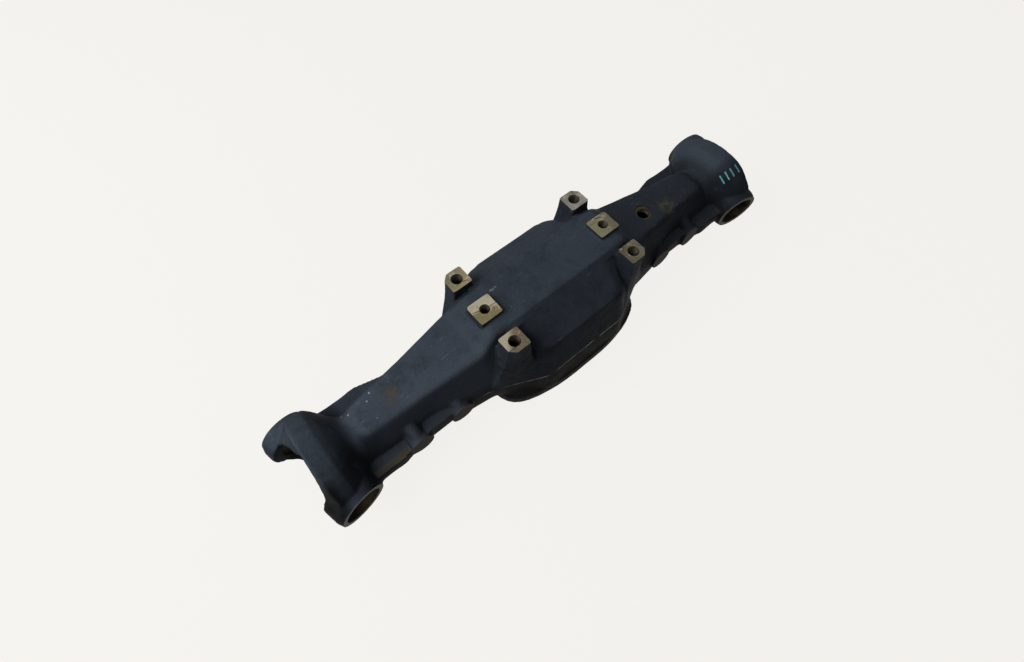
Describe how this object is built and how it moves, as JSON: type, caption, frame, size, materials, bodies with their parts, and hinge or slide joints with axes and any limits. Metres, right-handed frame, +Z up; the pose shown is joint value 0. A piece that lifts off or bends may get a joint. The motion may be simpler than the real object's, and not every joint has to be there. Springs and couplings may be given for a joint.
{
  "type": "axle housing",
  "caption": "One-piece cast housing of a steering drive axle: hollow arms, forked bell ends with kingpin seats, machined bolting pads and a carrier flange below.",
  "frame": {"origin": "centre of the carrier opening, on the machined face of the carrier flange", "axes": "+X along the axle towards the arm with the filler, -Y towards the side bosses, +Z up to the bolting pads"},
  "size_m": [1.3458, 0.324, 0.242],
  "materials": {
    "casting": "dark blue-grey primer over sand-cast iron, machined faces left bare"
  },
  "bodies": {
    "root": {"axle_housing": "casting"}
  },
  "joints": []
}
